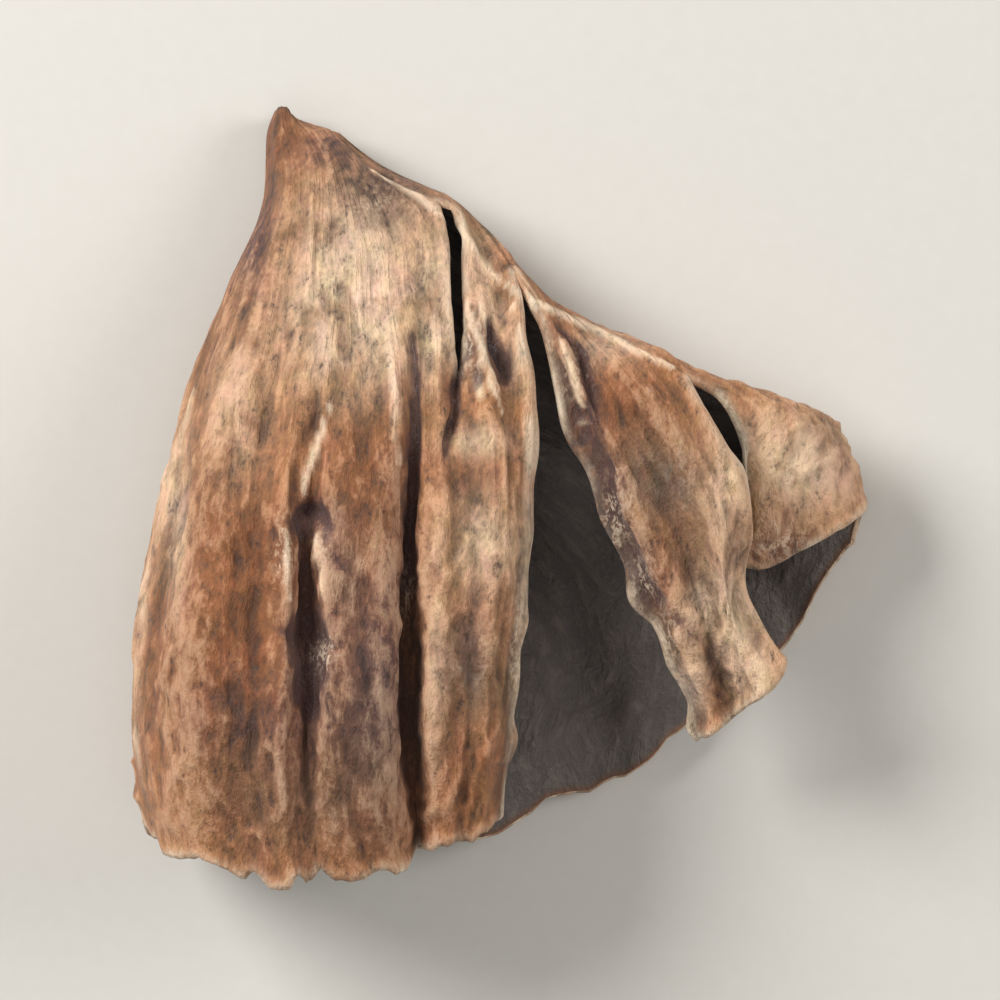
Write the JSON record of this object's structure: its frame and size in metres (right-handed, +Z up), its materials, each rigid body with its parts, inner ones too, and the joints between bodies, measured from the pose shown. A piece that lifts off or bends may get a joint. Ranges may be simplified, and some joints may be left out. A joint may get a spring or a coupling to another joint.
{
  "type": "dried black trumpet mushroom",
  "caption": "Dried black trumpet mushroom lying on its back: a thin hollow funnel, pleated and torn open down its front, with a wavy rim at one end and a short solid stub of stem at the other.",
  "frame": {"origin": "under the middle of the bounding box, on the surface the mushroom lies on", "axes": "+Y from the mouth towards the stem, +Z up, out of the torn front, +X towards the side lobe"},
  "size_m": [0.0216, 0.0232, 0.0078],
  "materials": {
    "flesh": "dry, matt and finely wrinkled, tan to grey-brown outside and nearly black inside"
  },
  "bodies": {
    "root": {"black_trumpet": "flesh"}
  },
  "joints": []
}
